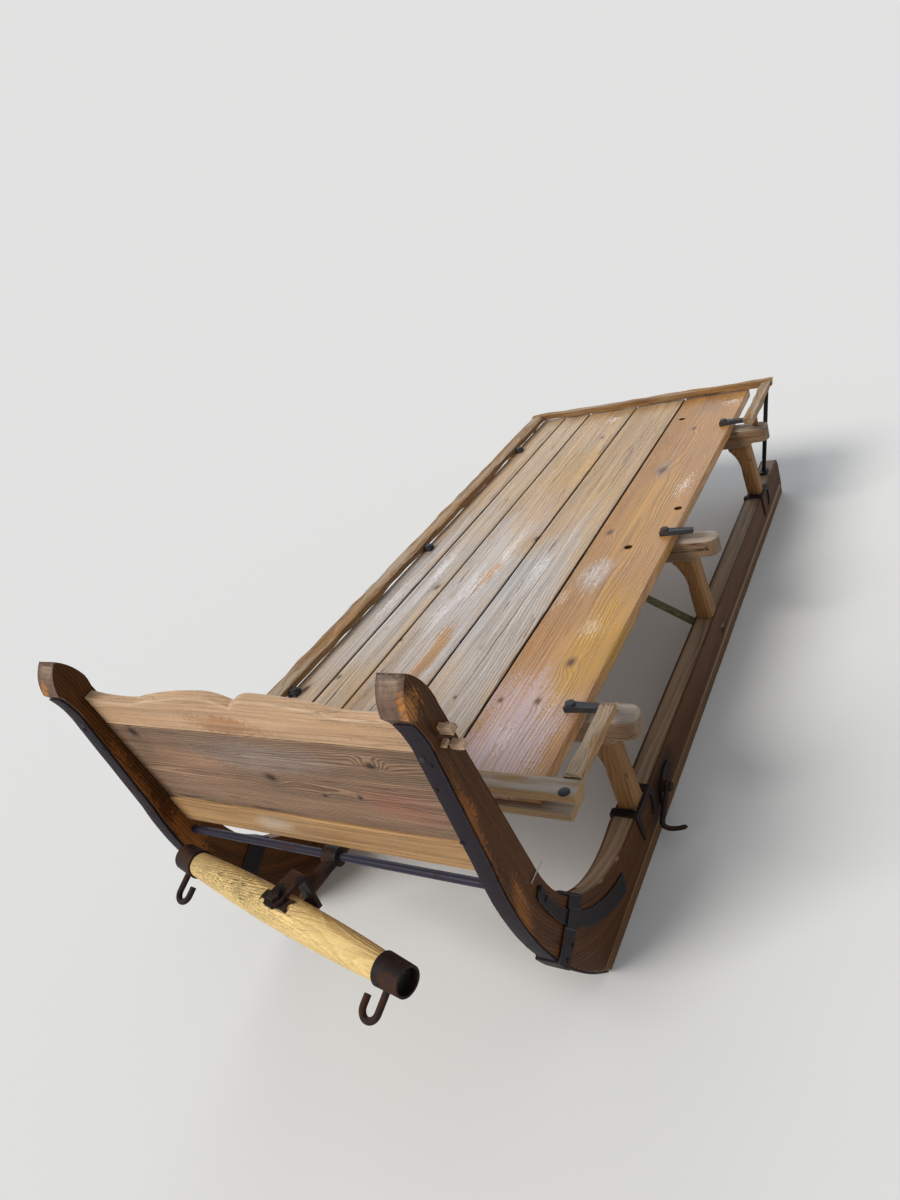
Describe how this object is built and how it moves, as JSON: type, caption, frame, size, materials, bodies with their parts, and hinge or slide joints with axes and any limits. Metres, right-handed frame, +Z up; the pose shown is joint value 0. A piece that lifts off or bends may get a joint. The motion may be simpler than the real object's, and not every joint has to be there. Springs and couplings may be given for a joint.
{
  "type": "wooden farm sled with a swingletree",
  "caption": "Low wooden farm sled: plank bed on legged cross-beams over two runners that sweep up into tall horns with a head board, towed by a hinged swingletree.",
  "frame": {"origin": "centre of the overall box on the ground under the soles", "axes": "-Y forward, +X to the sled's own left, +Z up"},
  "size_m": [0.94, 2.4083, 0.864],
  "materials": {
    "runner_timber": "oiled and wet, dark red-brown",
    "sole_timber": "worn, lighter brown",
    "beam_timber": "weathered grey-brown, cracked",
    "leg_timber": "hewn, golden brown",
    "strut_timber": "round stick, greenish grey",
    "rail_timber": "weathered, worn arrises",
    "front_board": "weathered grey and golden",
    "plank_wide": "softwood, varnish worn, pinkish to golden",
    "plank_inner": "softwood, wet patches",
    "plank_far": "softwood, pale and weathered",
    "board_top": "light golden brown, worn top edge",
    "board_middle": "brown-grey, coarse grain",
    "batten": "golden tan",
    "wedge_timber": "pale, split",
    "ash_bar": "pale yellow, fine dark grain",
    "band_iron": "purple-black, dull",
    "strap_iron": "black with brown rust",
    "forged_iron": "forged, rusty black",
    "clip_iron": "grey, worn",
    "stay_iron": "black",
    "rod_iron": "blue-black, smooth"
  },
  "bodies": {
    "sled": {"beam_front": "beam_timber", "beam_middle": "beam_timber", "beam_rear": "beam_timber", "bend_plate_left": "strap_iron", "bend_plate_right": "strap_iron", "bend_strap_left": "strap_iron", "bend_strap_right": "strap_iron", "board_wedge_left": "wedge_timber", "board_wedge_right": "wedge_timber", "claw_stud_left": "strap_iron", "claw_stud_right": "strap_iron", "dowel_front_right": "leg_timber", "dowel_middle_right": "leg_timber", "dowel_rear_left": "leg_timber", "dowel_rear_right": "leg_timber", "draught_rod": "rod_iron", "front_rail_lower": "front_board", "front_rail_upper": "front_board", "head_batten": "batten", "head_board_middle": "board_middle", "head_board_top": "board_top", "horn_band_left": "band_iron", "horn_band_right": "band_iron", "leg_front_left": "leg_timber", "leg_front_right": "leg_timber", "leg_iron_front_left": "strap_iron", "leg_iron_front_right": "strap_iron", "leg_iron_rear_left": "strap_iron", "leg_iron_rear_right": "strap_iron", "leg_middle_left": "leg_timber", "leg_middle_right": "leg_timber", "leg_rear_left": "leg_timber", "leg_rear_right": "leg_timber", "plank_1": "plank_wide", "plank_2": "plank_inner", "plank_3": "plank_inner", "plank_4": "plank_far", "plank_5": "plank_far", "plank_clips": "clip_iron", "rail_left_front": "rail_timber", "rail_left_rear": "rail_timber", "rail_rear": "rail_timber", "rail_right": "rail_timber", "rear_stay_left": "stay_iron", "rear_stay_right": "stay_iron", "runner_left": "runner_timber", "runner_right": "runner_timber", "sole_left": "sole_timber", "sole_right": "sole_timber", "strut_left": "strut_timber", "strut_right": "strut_timber"},
    "draught_link": {"draught_link": "forged_iron", "link_bolt": "forged_iron"},
    "swingletree": {"swingletree": "ash_bar", "tree_plate": "forged_iron", "end_hook_left": "forged_iron", "end_hook_right": "forged_iron"},
    "claw_left": {"claw_left": "forged_iron"},
    "claw_right": {"claw_right": "forged_iron"}
  },
  "joints": [
    {"name": "link_swing", "type": "hinge", "parent": "sled", "child": "draught_link", "pos_m": [0.02, -0.9481, 0.396], "axis": [1, 0, 0], "range_deg": [-25, 45]},
    {"name": "swingletree_swing", "type": "hinge", "parent": "draught_link", "child": "swingletree", "pos_m": [-0.00642, -1.07794, 0.396], "axis": [0, 0, 1], "range_deg": [0, 24]},
    {"name": "claw_left_swing", "type": "hinge", "parent": "sled", "child": "claw_left", "pos_m": [0.414, -0.385, 0.082], "axis": [-1, 0, 0], "range_deg": [0, 90]},
    {"name": "claw_right_swing", "type": "hinge", "parent": "sled", "child": "claw_right", "pos_m": [-0.414, -0.385, 0.082], "axis": [-1, 0, 0], "range_deg": [0, 90]}
  ]
}
